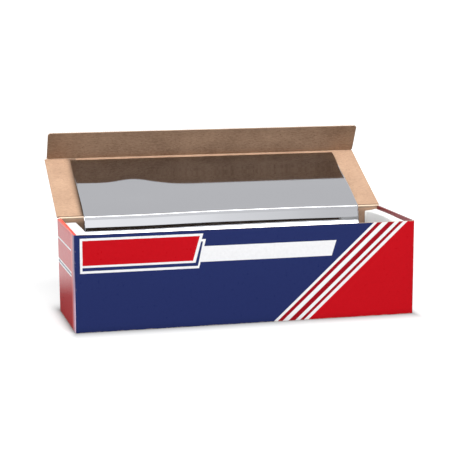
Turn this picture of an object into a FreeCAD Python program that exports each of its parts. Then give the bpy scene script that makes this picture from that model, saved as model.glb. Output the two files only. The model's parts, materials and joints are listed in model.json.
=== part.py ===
import FreeCAD, Part
import math
import os

os.makedirs("parts", exist_ok=True)

# Frame: millimetres, origin at the centre of the tray's underside, +X along the roll,
# +Y towards the back wall that carries the lid, +Z up.
# The carton is shown as it stands in use: lid swung back, front flap still folded,
# and the end of the foil drawn over the back wall and laid on the lid.

# Foil roll
foil_width = 304.8            # width of the web, twelve inches
roll_diameter = 86.0          # outside of the wound turns
core_outer_diameter = 39.0
core_wall = 2.0
core_overhang = 1.0           # core stands out of the turns at each end
core_fit = 0.15               # first turn to core, on the radius
winding_bands = 5             # bands of turns that crept sideways while winding
winding_shift = 0.4           # furthest that a band crept

# Room that the carton leaves round the roll
roll_end_gap = 9.05           # each end of the turns to its end support
roll_back_gap = 0.4           # back of the roll to the back wall
roll_seat_gap = 0.3           # underside of the roll to the tray floor
finger_gap = 19.0             # front of the roll to the front wall
headroom = 11.9               # top of the roll to the tray's rim

# Carton board and tray
board = 0.8                   # thickness of the printed paperboard
corner_radius = 2.5           # outside of the four upright folds
base_fold_radius = 0.6        # outside of the folds round the base
end_rim_width = 2.8           # end wall with its rolled-over inner panel
rim_fold_radius = 0.7         # outside of the folds along the end rims
inner_panel_gap = 0.4         # inner end panel to the floor and the side walls
corner_flap_length = 45.0     # glued flaps that join the long walls to the ends
corner_flap_slack = 0.2       # corner flap to the outer end panel

# Folded white supports at the ends of the roll
left_support_width = 15.2
right_support_width = 12.7
support_board = 0.8
support_fold_radius = 1.8     # outside of the folds along the ledge
support_side_gap = 0.3        # support to the walls round it
ledge_drop = 4.5              # tray rim down to the white ledge

# Lid, front flap and cutter
lid_open_angle = 152.0        # from closed flat on the rims
lid_rise = 0.6                # fold line above the tray's rim
fold_gap = 0.3                # panel edge to the fold line that it turns about
flap_clearance = 0.8          # inner face of the closed flap to the front wall
flap_height = 34.0
flap_angle = 90.0             # between lid and flap
flap_corner_cut = 2.0         # small cut at the free corners of the flap
fold_relief = 1.5             # small cut at each end of the flap's fold
cutter_margin = 6.0           # end of the cutter to the end of the flap
cutter_height = 9.0           # from its straight edge to the tooth tips
cutter_thickness = 0.25
tooth_pitch = 2.5
tooth_depth = 1.4
tooth_reach = 0.7             # tooth tips past the free edge of the flap

# Drawn end of the foil, kept thicker than the real film so that it stays a solid
film = 0.2
film_bend_drop = 17.5         # rim down to the bend behind the roll
film_bend_setback = 3.0       # that bend to the back wall
film_bend_radius = 2.5
film_crease_drop = 12.6       # rim down to the faint crease above the bend
film_crease_setback = 2.7
film_top_drop = 0.7           # rim down to where the film turns over the wall
film_top_setback = 0.4
sheet_start = 1.6             # fold line of the lid to the film lying on it
sheet_end_margin = 4.4        # free end of the film to the flap's fold

# Sizes that follow from those above
roll_radius = roll_diameter / 2
tray_width = (foil_width + 2 * roll_end_gap + left_support_width + right_support_width
              + 2 * (support_side_gap + end_rim_width))
tray_depth = roll_diameter + roll_back_gap + finger_gap + 2 * board
tray_height = board + roll_seat_gap + roll_diameter + headroom
half_width = tray_width / 2
half_depth = tray_depth / 2
back_face = half_depth - board
left_support_face = -half_width + end_rim_width + support_side_gap + left_support_width
right_support_face = half_width - end_rim_width - support_side_gap - right_support_width
roll_x = (left_support_face + right_support_face) / 2
roll_y = back_face - roll_back_gap - roll_radius
roll_z = board + roll_seat_gap + roll_radius
lid_length = tray_depth + flap_clearance
lid_axis = FreeCAD.Vector(0, half_depth, tray_height + lid_rise)
flap_axis = lid_axis + FreeCAD.Vector(0, -lid_length, 0)
x_axis = FreeCAD.Vector(1, 0, 0)


def block(x_low, x_high, y_low, y_high, z_low, z_high):
    """Box between two opposite corners."""
    corner = FreeCAD.Vector(x_low, y_low, z_low)
    return Part.makeBox(x_high - x_low, y_high - y_low, z_high - z_low, corner)


def edges_where(shape, test):
    """Edges whose end points, and middle, all pass the test."""
    found = []
    for edge in shape.Edges:
        middle = edge.valueAt((edge.FirstParameter + edge.LastParameter) / 2)
        points = [vertex.Point for vertex in edge.Vertexes] + [middle]
        if all(test(point) for point in points):
            found.append(edge)
    return found


def near(value, target):
    """True where a coordinate lies on a plane of the model."""
    return abs(value - target) < 0.001


def make_shell():
    """Single-thickness open box: floor, two long walls and two end panels."""
    outside = block(-half_width, half_width, -half_depth, half_depth, 0, tray_height)
    upright = edges_where(
        outside,
        lambda p: near(abs(p.x), half_width) and near(abs(p.y), half_depth),
    )
    outside = outside.makeFillet(corner_radius, upright)
    base = edges_where(outside, lambda p: near(p.z, 0))
    outside = outside.makeFillet(base_fold_radius, base)
    inside = block(board - half_width, half_width - board, board - half_depth, back_face,
                   board, tray_height + board)
    upright = edges_where(
        inside,
        lambda p: near(abs(p.x), half_width - board) and near(abs(p.y), back_face),
    )
    inside = inside.makeFillet(max(corner_radius - board, board / 4), upright)
    return outside.cut(inside)


def make_end_lining(side):
    """Inner end panel, rolled over the rim of the end panel at one side."""
    y_reach = back_face - inner_panel_gap
    rim_inner = half_width - end_rim_width
    cap = block(rim_inner, half_width - board / 2, -y_reach, y_reach,
                tray_height - board, tray_height)
    panel = block(rim_inner, rim_inner + board, -y_reach, y_reach,
                  board + inner_panel_gap, tray_height)
    lining = cap.fuse(panel)
    if side < 0:
        lining = lining.mirror(FreeCAD.Vector(0, 0, 0), x_axis)
    return lining


def make_corner_flap(side, end):
    """Glue flap folded from a long wall into the doubled end wall."""
    outer_x = half_width - board - corner_flap_slack
    x_values = sorted((side * outer_x, side * (outer_x - board)))
    y_values = sorted((end * back_face, end * (back_face - corner_flap_length)))
    return block(x_values[0], x_values[1], y_values[0], y_values[1],
                 board + inner_panel_gap, tray_height - board - inner_panel_gap)


def make_tray():
    """Tray folded from one blank, with doubled end walls."""
    tray = make_shell()
    for side in (-1, 1):
        tray = tray.fuse(make_end_lining(side))
        for end in (-1, 1):
            tray = tray.fuse(make_corner_flap(side, end))
    tray = tray.removeSplitter()
    rim_folds = edges_where(
        tray,
        lambda p: near(p.z, tray_height) and near(abs(p.x), half_width - end_rim_width),
    )
    return tray.makeFillet(rim_fold_radius, rim_folds)


def make_end_support(side, width):
    """White board folded into a channel that stands between roll and end wall."""
    foot = half_width - end_rim_width - support_side_gap
    y_reach = back_face - support_side_gap
    top = tray_height - ledge_drop
    outside = block(foot - width, foot, -y_reach, y_reach, board, top)
    outside = outside.makeFillet(
        support_fold_radius, edges_where(outside, lambda p: near(p.z, top) and abs(p.y) < y_reach + 1
                                         and (near(p.x, foot) or near(p.x, foot - width))))
    inside_top = top - support_board
    inside = block(foot - width + support_board, foot - support_board,
                   -y_reach, y_reach, 0, inside_top)
    inside = inside.makeFillet(
        support_fold_radius - support_board,
        edges_where(inside, lambda p: near(p.z, inside_top)
                    and (near(p.x, foot - support_board) or near(p.x, foot - width + support_board))))
    support = outside.cut(inside)
    if side < 0:
        support = support.mirror(FreeCAD.Vector(0, 0, 0), x_axis)
    return support


def cylinder_along_x(radius, x_low, x_high):
    """Round bar on the roll's axis."""
    start = FreeCAD.Vector(x_low, roll_y, roll_z)
    return Part.makeCylinder(radius, x_high - x_low, start, x_axis)


def make_core_tube():
    """Spiral-wound paper tube that carries the turns."""
    x_low = roll_x - foil_width / 2 - core_overhang
    x_high = roll_x + foil_width / 2 + core_overhang
    outer = cylinder_along_x(core_outer_diameter / 2, x_low, x_high)
    return outer.cut(cylinder_along_x(core_outer_diameter / 2 - core_wall, x_low, x_high))


def make_turns():
    """Wound turns as coaxial bands, each crept a little along the roll."""
    bore = core_outer_diameter / 2 + core_fit
    band = (roll_radius - bore) / winding_bands
    turns = None
    for index in range(winding_bands):
        last = index == winding_bands - 1
        shift = 0 if last else winding_shift * math.sin(2.4 * index + 1)
        x_low = roll_x - foil_width / 2 + shift
        x_high = roll_x + foil_width / 2 + shift
        ring = cylinder_along_x(bore + band * (index + 1), x_low, x_high)
        ring = ring.cut(cylinder_along_x(bore + band * index, x_low, x_high))
        turns = ring if turns is None else turns.fuse(ring)
    return turns


def film_path():
    """Points of the drawn film from the top of the roll to the top of the back wall."""
    bend_y = back_face - film_bend_setback
    bend_z = tray_height - film_bend_drop
    reach_y = bend_y - roll_y
    reach_z = bend_z - roll_z
    radius = roll_radius - film / 2
    to_bend = math.atan2(reach_z, reach_y)
    leave = to_bend + math.acos(radius / math.hypot(reach_y, reach_z))
    return [
        (roll_y + radius * math.cos(leave), roll_z + radius * math.sin(leave)),
        (bend_y, bend_z),
        (back_face - film_crease_setback, tray_height - film_crease_drop),
        (back_face - film_top_setback, tray_height - film_top_drop),
    ]


def offset_line(points, distance):
    """Polyline moved sideways by a distance, with mitred corners."""
    moved = []
    for index, (y, z) in enumerate(points):
        before = points[max(index - 1, 0)]
        after = points[min(index + 1, len(points) - 1)]
        normals = []
        for start, stop in ((before, (y, z)), ((y, z), after)):
            length = math.hypot(stop[0] - start[0], stop[1] - start[1])
            if length > 0:
                normals.append((-(stop[1] - start[1]) / length, (stop[0] - start[0]) / length))
        sum_y = sum(normal[0] for normal in normals)
        sum_z = sum(normal[1] for normal in normals)
        scale = 2 * distance / (sum_y ** 2 + sum_z ** 2) if len(normals) == 2 else distance
        moved.append((y + sum_y * scale, z + sum_z * scale))
    return moved


def make_drawn_film():
    """Film that leaves the roll at its top and climbs the back wall."""
    path = film_path()
    outline = offset_line(path, film / 2) + offset_line(path, -film / 2)[::-1]
    x_low = roll_x - foil_width / 2
    points = [FreeCAD.Vector(x_low, y, z) for y, z in outline]
    wire = Part.makePolygon(points + points[:1])
    film_solid = Part.Face(wire).extrude(FreeCAD.Vector(foil_width, 0, 0))
    bend_y, bend_z = path[1]
    bend_edges = edges_where(
        film_solid, lambda p: math.hypot(p.y - bend_y, p.z - bend_z) < film)
    long_edges = [edge for edge in bend_edges if edge.Length > foil_width / 2]
    inner = min(long_edges, key=lambda edge: edge.Vertexes[0].Point.y - edge.Vertexes[0].Point.z)
    outer = max(long_edges, key=lambda edge: edge.Vertexes[0].Point.y - edge.Vertexes[0].Point.z)
    film_solid = film_solid.makeFillet(film_bend_radius, [inner])
    outer = [edge for edge in film_solid.Edges if edge.Length > foil_width / 2
             and edge.Vertexes[0].Point.sub(outer.Vertexes[0].Point).Length < 0.01]
    return film_solid.makeFillet(film_bend_radius + film, outer[:1])


def make_foil_roll():
    """Turns and the drawn film that leaves them, one continuous web."""
    return make_turns().fuse(make_drawn_film()).removeSplitter()


def open_lid(shape):
    """Swing a piece of the closed lid back to where the lid stands."""
    shape.rotate(lid_axis, x_axis, -lid_open_angle)
    return shape


def spring_flap(shape):
    """Let a piece of the square-folded flap stand at the flap's own angle."""
    shape.rotate(flap_axis, x_axis, 90 - flap_angle)
    return shape


def make_lid_panel():
    """Flat panel that closes on the rims."""
    panel = block(-half_width, half_width, flap_axis.y, lid_axis.y - fold_gap,
                  lid_axis.z, lid_axis.z + board)
    return open_lid(panel)


def upright_plate(outline, y_low, thickness):
    """Plate across the carton's front from an outline of X and Z."""
    points = [FreeCAD.Vector(x, y_low, z) for x, z in outline]
    wire = Part.makePolygon(points + points[:1])
    return Part.Face(wire).extrude(FreeCAD.Vector(0, thickness, 0))


def make_lid_flap():
    """Front flap, cut back a little at its free corners and at its fold."""
    top = flap_axis.z - fold_gap
    bottom = flap_axis.z - flap_height
    half = half_width
    outline = [
        (-half + fold_relief, top),
        (half - fold_relief, top),
        (half, top - fold_relief),
        (half, bottom + flap_corner_cut),
        (half - flap_corner_cut, bottom),
        (flap_corner_cut - half, bottom),
        (-half, bottom + flap_corner_cut),
        (-half, top - fold_relief),
    ]
    return open_lid(spring_flap(upright_plate(outline, flap_axis.y - board, board)))


def make_cutter_strip():
    """Toothed metal strip on the outside of the flap, along its free edge."""
    tip = flap_axis.z - flap_height - tooth_reach
    root = tip + tooth_depth
    length = tray_width - 2 * cutter_margin
    teeth = max(int(round(length / tooth_pitch)), 1)
    pitch = length / teeth
    outline = [(-length / 2, tip + cutter_height), (-length / 2, root)]
    for index in range(teeth):
        start = -length / 2 + index * pitch
        outline.append((start + pitch / 2, tip))
        outline.append((start + pitch, root))
    outline.append((length / 2, tip + cutter_height))
    strip = upright_plate(outline, flap_axis.y - board - cutter_thickness, cutter_thickness)
    return open_lid(spring_flap(strip))


def make_foil_sheet():
    """End of the drawn film, laid flat on the lid's inner face."""
    x_low = roll_x - foil_width / 2
    sheet = block(x_low, x_low + foil_width, flap_axis.y + sheet_end_margin,
                  lid_axis.y - sheet_start, lid_axis.z - film, lid_axis.z)
    return open_lid(sheet)


def export(node, shape):
    """Write one node and say what it holds."""
    shape.exportStep("parts/" + node + ".step")
    print(node, "solids", len(shape.Solids), "valid", shape.isValid(),
          "volume", round(shape.Volume, 1))


export("tray", make_tray())
export("end_support_left", make_end_support(-1, left_support_width))
export("end_support_right", make_end_support(1, right_support_width))
export("core_tube", make_core_tube())
export("foil_roll", make_foil_roll())
export("lid_panel", make_lid_panel())
export("lid_flap", make_lid_flap())
export("cutter_strip", make_cutter_strip())
export("foil_sheet", make_foil_sheet())
print("tray size", tray_width, tray_depth, tray_height)
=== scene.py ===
"""Aluminium foil roll in its open dispenser carton: finishes, soft detail, light and camera."""

import json
import logging
import math
from dataclasses import dataclass
from enum import Enum
from typing import Callable, Optional, Sequence, Union

import bpy
import numpy as np
from mathutils import Matrix, Vector


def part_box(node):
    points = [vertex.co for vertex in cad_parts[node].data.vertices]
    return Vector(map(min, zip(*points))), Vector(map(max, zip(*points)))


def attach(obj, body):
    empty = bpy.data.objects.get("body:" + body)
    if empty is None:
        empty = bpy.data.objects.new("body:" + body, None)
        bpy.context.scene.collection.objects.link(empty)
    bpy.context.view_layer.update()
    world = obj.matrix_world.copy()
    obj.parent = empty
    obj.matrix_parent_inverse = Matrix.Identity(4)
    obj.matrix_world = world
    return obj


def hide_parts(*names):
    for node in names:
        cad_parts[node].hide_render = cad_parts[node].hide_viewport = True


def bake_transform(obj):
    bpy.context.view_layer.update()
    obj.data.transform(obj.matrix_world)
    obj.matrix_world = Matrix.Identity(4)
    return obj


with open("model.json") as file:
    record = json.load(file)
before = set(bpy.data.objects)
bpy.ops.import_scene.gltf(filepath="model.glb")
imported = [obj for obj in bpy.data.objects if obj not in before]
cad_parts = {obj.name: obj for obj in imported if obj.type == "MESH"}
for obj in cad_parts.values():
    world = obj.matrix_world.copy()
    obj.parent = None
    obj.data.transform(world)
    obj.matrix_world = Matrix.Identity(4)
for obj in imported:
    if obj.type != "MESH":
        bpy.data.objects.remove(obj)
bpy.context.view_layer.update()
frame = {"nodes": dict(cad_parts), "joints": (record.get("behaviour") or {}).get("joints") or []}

LOG = logging.getLogger("foil_roll")
MM = 0.001
Socket = bpy.types.NodeSocket
Sockets = bpy.types.bpy_prop_collection
Value = Union[float, Socket]
Colour = tuple[float, float, float]


def srgb(red: int, green: int, blue: int) -> Colour:
    """Turn a printed colour, 0 to 255 a channel, into the linear light that a shader takes.

    Args:
        red: red channel.
        green: green channel.
        blue: blue channel.

    Returns:
        The three linear channels, 0 to 1.
    """
    def linear(channel: int) -> float:
        share = channel / 255
        return share / 12.92 if share <= 0.04045 else ((share + 0.055) / 1.055) ** 2.4
    return linear(red), linear(green), linear(blue)


class BoardSide(Enum):
    """Where a face of folded board shows: its material slot on every board piece."""

    PRINTED = 0
    INSIDE = 1
    CUT = 2


class End(Enum):
    """The two ends of the carton, as the sign of X."""

    LEFT = -1
    RIGHT = 1


# Sizes


FieldSize = tuple[float, float, float, float, float]


@dataclass(frozen=True)
class CartonSizes:
    """Sizes of the folded carton, in metres, from the frame and the board it is made of."""

    half_width: float
    half_depth: float
    height: float
    board: float = 0.8 * MM
    corner_radius: float = 2.5 * MM
    rim_width: float = 2.8 * MM
    inner_gap: float = 0.4 * MM
    lid_length: float = 107.8 * MM
    flap_height: float = 34.0 * MM
    fold_gap: float = 0.3 * MM
    flap_corner_cut: float = 2.0 * MM
    fold_relief: float = 1.5 * MM
    loose_edge: float = 1.9 * MM


@dataclass(frozen=True)
class LidFrame:
    """The opened lid's own directions: along the panel, and out of its inner face."""

    axis: Vector
    along: Vector
    inward: Vector

    def place(self, x: float, u: float, n: float) -> Vector:
        """Point at X, at a distance along the panel, and above its inner face."""
        return self.axis + self.along * u + self.inward * n + Vector((x, 0, 0))


@dataclass(frozen=True)
class RollSizes:
    """Sizes of the wound roll and its core, in metres."""

    centre: Vector
    radius: float
    half_web: float
    core_radius: float
    core_wall: float = 2.0 * MM
    core_overhang: float = 1.0 * MM
    fit: float = 0.15 * MM


def read_carton() -> CartonSizes:
    """Sizes of the carton from the frame's tray."""
    _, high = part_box("tray")
    return CartonSizes(high.x, high.y, high.z)


def read_lid() -> LidFrame:
    """Directions of the opened lid from the joints of the frame."""
    hinge, crease = (next(j for j in frame["joints"] if j["name"] == name)
                     for name in ("lid_fold", "flap_fold"))
    axis, fold = Vector(hinge["pos_m"]), Vector(crease["pos_m"])
    along = (fold - axis).normalized()
    return LidFrame(axis, along, Vector((1, 0, 0)).cross(along))


def read_roll() -> RollSizes:
    """Sizes of the roll from the frame's core tube and roll."""
    core_low, core_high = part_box("core_tube")
    roll_low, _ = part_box("foil_roll")
    sheet_low, sheet_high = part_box("foil_sheet")
    centre = (core_low + core_high) / 2
    return RollSizes(centre, centre.z - roll_low.z, (sheet_high.x - sheet_low.x) / 2,
                     (core_high.z - core_low.z) / 2)


# Node building


class NodeTree:
    """Short calls for building a shader or geometry tree."""

    def __init__(self, tree: bpy.types.NodeTree) -> None:
        """Keep the tree that the calls add to."""
        self.tree = tree

    def put(self, socket: Socket, value: object) -> None:
        """Link a socket to an input, or set the input to a plain value."""
        if isinstance(value, bpy.types.NodeSocket):
            self.tree.links.new(value, socket)
        else:
            socket.default_value = value

    def node(self, kind: str, inputs: Optional[dict] = None, **settings: object) -> bpy.types.Node:
        """Add a node.

        Args:
            kind: Blender's type name for the node.
            inputs: input name or index, and its value or the socket that feeds it.
            **settings: attributes of the node itself.

        Returns:
            The new node.
        """
        made = self.tree.nodes.new(kind)
        for key, value in settings.items():
            setattr(made, key, value)
        for key, value in (inputs or {}).items():
            self.put(made.inputs[key], value)
        return made

    def math(self, operation: str, *values: Value, clamp: bool = False) -> Socket:
        """Result of one math node on up to three values."""
        made = self.tree.nodes.new("ShaderNodeMath")
        made.operation, made.use_clamp = operation, clamp
        for slot, value in zip(made.inputs, values):
            self.put(slot, value)
        return made.outputs[0]

    def length(self, first: Value, second: Value) -> Socket:
        """Length of a vector in a plane."""
        return self.math("SQRT", self.math("ADD", self.math("POWER", first, 2.0),
                                           self.math("POWER", second, 2.0)))

    def vector(self, x: Value, y: Value, z: Value) -> Socket:
        """Vector put together from three values."""
        return self.node("ShaderNodeCombineXYZ", {0: x, 1: y, 2: z}).outputs[0]

    def split(self, vector: Socket) -> tuple[Socket, Socket, Socket]:
        """The three values of a vector."""
        parts = self.node("ShaderNodeSeparateXYZ", {0: vector}).outputs
        return parts[0], parts[1], parts[2]

    def mix(self, factor: Value, first: object, second: object, blend: str = "MIX") -> Socket:
        """Colour that goes from the first to its blend with the second, by a factor of 0 to 1."""
        made = self.node("ShaderNodeMix", data_type="RGBA", blend_type=blend)
        self.put(made.inputs[0], factor)
        for slot, value in ((made.inputs[6], first), (made.inputs[7], second)):
            self.put(slot, (*value, 1.0) if isinstance(value, tuple) else value)
        return made.outputs[2]

    def noise(self, vector: Socket, scale: Value, detail: float = 2.0,
              roughness: float = 0.5) -> Socket:
        """Smooth noise, about 0 to 1."""
        return self.node("ShaderNodeTexNoise", {"Vector": vector, "Scale": scale, "Detail": detail,
                                                "Roughness": roughness}).outputs["Fac"]

    def remap(self, value: Value, low: float, high: float, to_low: float = 0.0,
              to_high: float = 1.0) -> Socket:
        """Value moved from one range to another and held inside it."""
        return self.node("ShaderNodeMapRange", {"Value": value, "From Min": low, "From Max": high,
                                                "To Min": to_low, "To Max": to_high}).outputs[0]

    def group(self, tree: bpy.types.NodeTree, **inputs: object) -> bpy.types.Node:
        """Node group with its inputs given by name, spaces written as underscores."""
        made = self.node("ShaderNodeGroup", node_tree=tree)
        for key, value in inputs.items():
            self.put(made.inputs[key.replace("_", " ")], value)
        return made


def open_group(name: str, inputs: Sequence[tuple[str, str]], outputs: Sequence[tuple[str, str]],
               kind: str = "ShaderNodeTree") -> tuple[NodeTree, Sockets, Sockets]:
    """Start a node group with named sockets.

    Args:
        name: name of the group.
        inputs: pairs of socket name and kind of value.
        outputs: the same for what it puts out.
        kind: shader or geometry tree.

    Returns:
        The tree's builder, the values given to the group, and the sockets for what it puts out.
    """
    tree = bpy.data.node_groups.new(name, kind)
    for label, value in inputs:
        tree.interface.new_socket(label, in_out="INPUT", socket_type="NodeSocket" + value)
    for label, value in outputs:
        tree.interface.new_socket(label, in_out="OUTPUT", socket_type="NodeSocket" + value)
    given, out = tree.nodes.new("NodeGroupInput"), tree.nodes.new("NodeGroupOutput")
    return NodeTree(tree), given.outputs, out.inputs


# Shared shader groups


def slanted_field_group() -> bpy.types.NodeTree:
    """Mask of a printed field with level top and bottom and slanted ends."""
    n, given, out = open_group(
        "slanted_field",
        [("Across", "Float"), ("Up", "Float"), ("Left", "Float"), ("Right", "Float"),
         ("Bottom", "Float"), ("Top", "Float"), ("Left Slant", "Float"), ("Right Slant", "Float"),
         ("Edge", "Float")],
        [("Mask", "Float")])
    level = n.math("SUBTRACT", given["Up"], given["Top"])
    distances = []
    for side, sign in (("Left", 1.0), ("Right", -1.0)):
        edge = n.math("MULTIPLY_ADD", level, given[side + " Slant"], given[side])
        distances.append(n.math("MULTIPLY", n.math("SUBTRACT", given["Across"], edge), sign))
    distances.append(n.math("SUBTRACT", given["Up"], given["Bottom"]))
    distances.append(n.math("SUBTRACT", given["Top"], given["Up"]))
    nearest = distances[0]
    for distance in distances[1:]:
        nearest = n.math("MINIMUM", nearest, distance)
    share = n.math("DIVIDE", nearest, given["Edge"])
    n.put(out["Mask"], n.math("ADD", share, 0.5, clamp=True))
    return n.tree


def board_fibre_group() -> bpy.types.NodeTree:
    """Fibres and flecks of uncoated board: a shade, a fleck mask and a height."""
    n, given, out = open_group(
        "board_fibre",
        [("Position", "Vector"), ("Fibre", "Float"), ("Fleck", "Float")],
        [("Shade", "Float"), ("Flecks", "Float"), ("Height", "Float")])
    x, y, z = n.split(given["Position"])
    stretched = n.vector(n.math("MULTIPLY", x, 0.3), y, z)
    fine = n.noise(stretched, 950.0, 4.0, 0.7)
    cloud = n.noise(given["Position"], 38.0, 3.0, 0.55)
    shade = n.math("ADD", n.math("MULTIPLY", fine, 0.65), n.math("MULTIPLY", cloud, 0.35))
    shade = n.math("MULTIPLY_ADD", n.math("SUBTRACT", shade, 0.5), given["Fibre"], 0.5)
    n.put(out["Shade"], n.math("ADD", shade, 0.0, clamp=True))
    spots = n.noise(given["Position"], 900.0, 1.0, 0.4)
    flecks = n.remap(spots, 0.70, 0.76)
    n.put(out["Flecks"], n.math("MULTIPLY", flecks, given["Fleck"]))
    n.put(out["Height"], n.math("ADD", fine, n.math("MULTIPLY", cloud, 0.4)))
    return n.tree


def fold_wear_group() -> bpy.types.NodeTree:
    """Broken line of cracked ink that follows a fold."""
    n, given, out = open_group(
        "fold_wear", [("Position", "Vector"), ("Distance", "Float"), ("Width", "Float"),
                      ("Amount", "Float")],
        [("Mask", "Float")])
    near = n.math("DIVIDE", n.math("ABSOLUTE", given["Distance"]), given["Width"])
    near = n.math("SUBTRACT", 1.0, near, clamp=True)
    coarse = n.noise(given["Position"], 160.0, 3.0, 0.65)
    fine = n.noise(given["Position"], 1500.0, 2.0, 0.6)
    broken = n.math("ADD", n.math("MULTIPLY", coarse, 0.6), n.math("MULTIPLY", fine, 0.4))
    worn = n.math("ADD", n.math("MULTIPLY", near, 0.5), n.math("SUBTRACT", broken, 0.5))
    worn = n.remap(worn, 0.30, 0.42)
    n.put(out["Mask"], n.math("MULTIPLY", n.math("MULTIPLY", worn, near), given["Amount"]))
    return n.tree


def web_streak_group() -> bpy.types.NodeTree:
    """Fine rolling lines that run along the web of foil, on its own UV map."""
    n, given, out = open_group(
        "web_streaks", [("Across", "Float"), ("Along", "Float")],
        [("Streak", "Float"), ("Height", "Float")])
    place = n.vector(given["Across"], n.math("MULTIPLY", given["Along"], 0.02), 0.0)
    wide = n.noise(place, 90.0, 2.0, 0.5)
    fine = n.noise(place, 1400.0, 3.0, 0.6)
    streak = n.math("ADD", n.math("MULTIPLY", wide, 0.5), n.math("MULTIPLY", fine, 0.5))
    n.put(out["Streak"], streak)
    n.put(out["Height"], n.math("ADD", fine, n.math("MULTIPLY", wide, 0.4)))
    return n.tree


class SharedEffects:
    """The shader groups that more than one finish uses, each built once."""

    def __init__(self) -> None:
        """Build the groups."""
        self.slanted_field = slanted_field_group()
        self.board_fibre = board_fibre_group()
        self.fold_wear = fold_wear_group()
        self.web_streaks = web_streak_group()


# Finishes


class Finish:
    """A material with a builder for its nodes and its Principled shader."""

    def __init__(self, name: str) -> None:
        """Make an empty material with one Principled shader."""
        self.material = bpy.data.materials.new(name)
        self.material.use_nodes = True
        self.n = NodeTree(self.material.node_tree)
        self.shader = self.n.tree.nodes["Principled BSDF"]
        self.position = self.n.node("ShaderNodeTexCoord").outputs["Object"]

    def set(self, **inputs: object) -> None:
        """Set or link inputs of the shader, by name with underscores for spaces."""
        for key, value in inputs.items():
            socket = self.shader.inputs[key.replace("_", " ")]
            self.n.put(socket, (*value, 1.0) if isinstance(value, tuple) else value)

    def bump(self, height: Socket, strength: float, distance: float) -> None:
        """Raise the surface a little by a height."""
        bump = self.n.node("ShaderNodeBump", {"Height": height, "Strength": strength,
                                              "Distance": distance})
        self.n.put(self.shader.inputs["Normal"], bump.outputs[0])

    def uv(self, name: str) -> tuple[Socket, Socket, Socket]:
        """The two values of a UV map of the piece, and an unused third."""
        return self.n.split(self.n.node("ShaderNodeUVMap", uv_map=name).outputs[0])


@dataclass(frozen=True)
class PrintColours:
    """Inks of the carton's outside, and colours of painted light on its rims and left end."""

    navy: Colour = srgb(36, 47, 99)
    red: Colour = srgb(197, 11, 25)
    deep_red: Colour = srgb(158, 10, 26)
    # shaded copy of the red print: painted shade on the right rim's top and the linings
    shaded_red: Colour = srgb(114, 16, 28)
    white: Colour = srgb(243, 243, 245)
    bare: Colour = srgb(226, 208, 190)
    # lit copy of the red print: painted highlight on the left rim's top
    lit_red: Colour = srgb(232, 52, 46)
    # painted reflection along the left end's front fold, not ink
    fold_reflection_edge: Colour = srgb(226, 76, 70)
    fold_reflection_high: Colour = srgb(64, 60, 118)
    fold_reflection_low: Colour = srgb(244, 206, 232)


@dataclass(frozen=True)
class StripeSizes:
    """Slanted white stripes between the navy field and the red corner."""

    lean: float = 1.087
    level: float = 49.5 * MM
    edges: tuple[tuple[float, float], ...] = (
        (79.5 * MM, 83.5 * MM), (88.8 * MM, 95.3 * MM),
        (102.5 * MM, 107.5 * MM), (111.8 * MM, 116.6 * MM))


@dataclass(frozen=True)
class LabelSizes:
    """Slanted-end fields on the front: left, right, bottom and top in metres, and end slant."""

    frame: FieldSize = (-173.0 * MM, -48.1 * MM, 65.8 * MM, 95.3 * MM, 0.275)
    red: FieldSize = (-170.5 * MM, -51.7 * MM, 67.9 * MM, 92.9 * MM, 0.284)
    shadow: FieldSize = (-173.0 * MM, -45.4 * MM, 60.1 * MM, 89.5 * MM, 0.245)
    shadow_fill: FieldSize = (-170.7 * MM, -48.5 * MM, 62.5 * MM, 87.2 * MM, 0.210)
    banner: FieldSize = (-53.0 * MM, 92.6 * MM, 66.3 * MM, 82.3 * MM, 0.305)


@dataclass(frozen=True)
class RuleSizes:
    """Level rules on the end panels: bottom and top in metres."""

    thin: tuple[float, float] = (79.4 * MM, 81.3 * MM)
    wide: tuple[float, float] = (53.2 * MM, 58.6 * MM)
    wide_fill: tuple[float, float] = (55.1 * MM, 56.8 * MM)


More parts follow.
